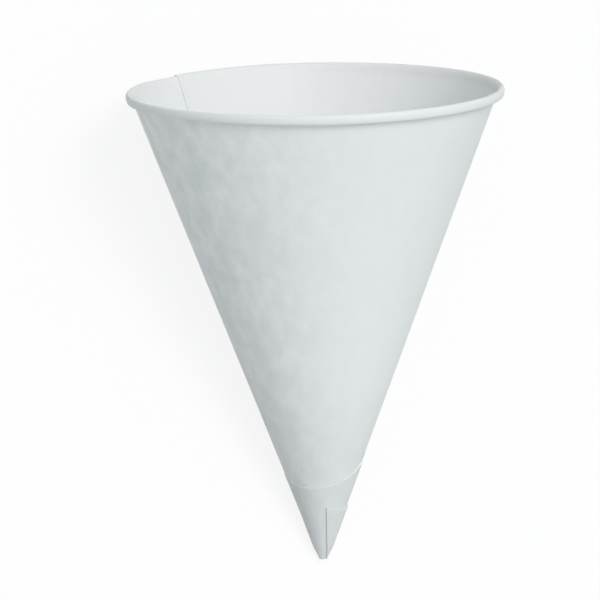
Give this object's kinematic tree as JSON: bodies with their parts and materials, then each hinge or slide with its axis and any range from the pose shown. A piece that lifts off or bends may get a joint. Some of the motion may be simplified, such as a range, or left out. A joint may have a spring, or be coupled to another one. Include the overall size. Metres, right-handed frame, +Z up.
{
  "type": "cone paper cup",
  "caption": "White cone paper cup, wound from one blank, with a lapped seam, a tucked pointed tip and a rolled rim, lying on its side.",
  "frame": {"origin": "on the floor, below the middle of the cup's bounding box, with the cup lying on its side as it comes to rest, its heavier side with the lap down", "axes": "+Y horizontal, the way the mouth points; +Z up; +X to the right of the mouth's direction; the cup's axis lies in the plane x = 0 and rises 21 degrees towards the mouth"},
  "size_m": [0.073, 0.1002, 0.068],
  "materials": {
    "paper": "white waxed paper, soft satin, with faint fibre mottle"
  },
  "bodies": {
    "root": {"cone_cup": "paper"}
  },
  "joints": []
}
